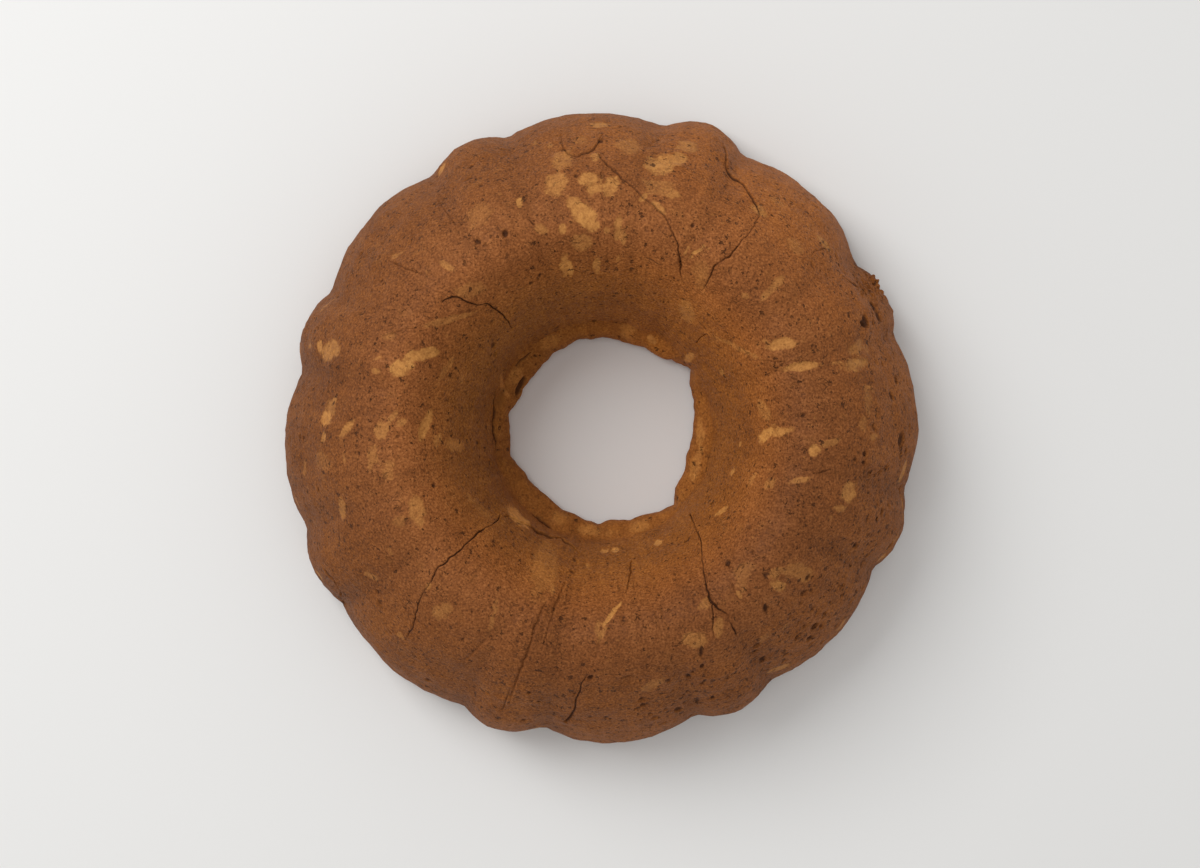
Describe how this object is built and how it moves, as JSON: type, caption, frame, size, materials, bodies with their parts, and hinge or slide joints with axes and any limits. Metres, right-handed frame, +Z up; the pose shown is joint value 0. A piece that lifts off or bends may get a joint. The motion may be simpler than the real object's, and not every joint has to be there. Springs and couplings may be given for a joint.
{
  "type": "fluted ring pound cake",
  "caption": "Whole baked ring cake with wide and narrow flutes round its outside, a low crown, an open middle and a flat foot that it stands on.",
  "frame": {"origin": "middle of the foot's outline, on the surface that the cake stands on", "axes": "+Z up through the open middle; +X and +Y along the foot, with +Y towards the top edge of the picture"},
  "size_m": [0.2412, 0.2408, 0.078],
  "materials": {
    "crust": "matt brown crust with fine pores, hairline cracks and paler spots"
  },
  "bodies": {
    "root": {"cake": "crust"}
  },
  "joints": []
}
